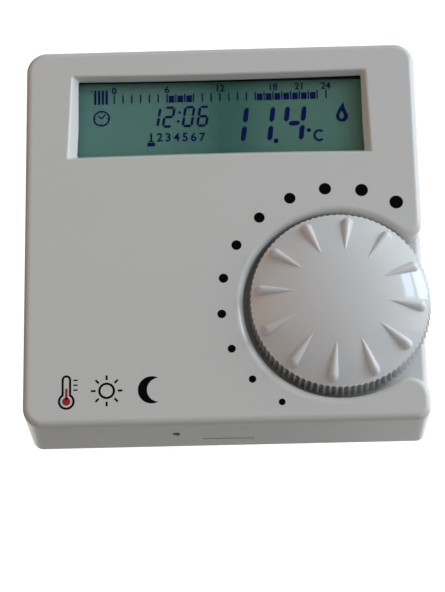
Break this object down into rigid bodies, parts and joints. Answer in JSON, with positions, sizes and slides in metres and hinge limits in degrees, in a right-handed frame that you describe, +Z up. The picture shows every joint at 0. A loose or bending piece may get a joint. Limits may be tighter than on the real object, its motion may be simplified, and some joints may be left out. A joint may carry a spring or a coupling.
{
  "type": "programmable room thermostat",
  "caption": "Square wall-mounted room thermostat with a wide LCD and one large turn-and-press dial set into its lower right corner.",
  "frame": {"origin": "centre of the wall face of the wall plate", "axes": "+X right as seen from the room, +Y into the wall, +Z up; the unit faces -Y"},
  "size_m": [0.0863, 0.029, 0.0842],
  "materials": {
    "white_gloss": "glossy white ABS, finely moulded",
    "white_satin": "satin white ABS",
    "window": "clear acrylic",
    "lcd": "reflective grey-green liquid crystal panel",
    "light_plastic": "white moulding",
    "elastomer": "striped conductive elastomer",
    "circuit_board": "green solder mask",
    "black_plastic": "matt black moulding",
    "dark_grey_plastic": "dark grey moulding",
    "steel": "nickel plated steel",
    "brass": "plated brass",
    "cell_sleeve": "printed battery sleeve",
    "capacitor_sleeve": "shrink sleeve",
    "sensor_bead": "epoxy bead"
  },
  "bodies": {
    "wall_plate": {"wall_plate": "white_satin", "terminal_block": "dark_grey_plastic", "terminal_screw_1": "steel", "terminal_screw_2": "steel", "terminal_screw_3": "steel", "terminal_clamp_1": "brass", "terminal_clamp_2": "brass", "terminal_clamp_3": "brass", "header_pin_1": "brass", "header_pin_2": "brass", "header_pin_3": "brass"},
    "front_module": {"front_cover": "white_gloss", "rear_cover": "white_satin", "battery_tray": "white_satin", "display_window": "window", "lcd_front_polariser": "lcd", "lcd_panel": "lcd", "lcd_reflector": "lcd", "lcd_holder": "light_plastic", "zebra_strip_lower": "elastomer", "zebra_strip_upper": "elastomer", "main_board": "circuit_board", "microcontroller": "black_plastic", "memory_chip": "black_plastic", "crystal": "steel", "capacitor_1": "capacitor_sleeve", "capacitor_2": "capacitor_sleeve", "relay": "black_plastic", "thermistor": "sensor_bead", "header_socket": "black_plastic", "encoder_body": "dark_grey_plastic", "encoder_bushing": "steel", "reset_switch_body": "black_plastic", "battery_1": "cell_sleeve", "battery_2": "cell_sleeve", "battery_spring_1": "steel", "battery_spring_2": "steel", "battery_contact_negative": "steel", "battery_contact_positive": "steel", "battery_link_plate": "steel", "board_screw_1": "steel", "board_screw_2": "steel", "board_screw_3": "steel", "board_screw_4": "steel"},
    "encoder_rotor": {"encoder_rotor": "black_plastic"},
    "encoder_shaft": {"encoder_shaft": "steel"},
    "dial": {"dial": "white_gloss", "dial_spring_clip": "steel"},
    "reset_button": {"reset_button": "light_plastic"}
  },
  "joints": [
    {"name": "module_unclip", "type": "slide", "parent": "wall_plate", "child": "front_module", "axis": [0, -1, 0], "range_m": [0, 0.03]},
    {"name": "dial_turn", "type": "hinge", "parent": "front_module", "child": "encoder_rotor", "pos_m": [0.0244, 0, -0.01636], "axis": [0, 1, 0], "continuous": true},
    {"name": "dial_press", "type": "slide", "parent": "encoder_rotor", "child": "encoder_shaft", "axis": [0, 1, 0], "range_m": [0, 0.0005], "stiffness_N_per_m": 3000, "springref_m": -0.0003},
    {"name": "dial_pull_off", "type": "slide", "parent": "encoder_shaft", "child": "dial", "axis": [0, -1, 0], "range_m": [0, 0.016]},
    {"name": "reset_press", "type": "slide", "parent": "front_module", "child": "reset_button", "axis": [0, 0, 1], "range_m": [0, 0.0003], "stiffness_N_per_m": 2000, "springref_m": -0.0002}
  ]
}
